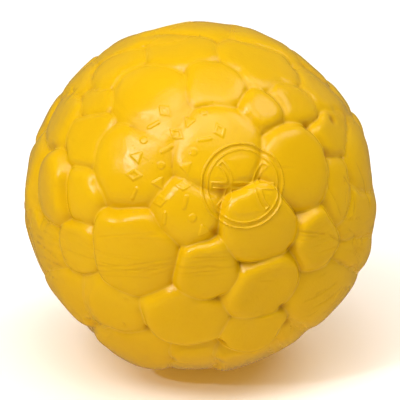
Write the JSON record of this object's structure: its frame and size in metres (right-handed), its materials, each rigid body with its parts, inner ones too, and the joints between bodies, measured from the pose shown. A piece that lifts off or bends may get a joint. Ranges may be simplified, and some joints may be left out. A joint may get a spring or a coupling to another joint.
{
  "type": "playground rubber ball",
  "caption": "Cobbled play ball with a thick moulded rubber cover in two halves round a foam core, joined by a bonded tongue-and-groove rim.",
  "frame": {"origin": "centre of the ball", "axes": "+Z through the middle of the upper half, square to the seam between the halves, which lies at Z = 0; +X and +Y lie in the seam plane, and the view that shows the raised emblem looks along +Y"},
  "size_m": [0.0836, 0.0838, 0.0839],
  "materials": {
    "cover": "satin moulded yellow rubber",
    "core": "closed-cell foam rubber",
    "cement": "dried rubber cement"
  },
  "bodies": {
    "root": {"upper_cover": "cover", "lower_cover": "cover", "foam_core": "core", "seam_bond": "cement"}
  },
  "joints": []
}
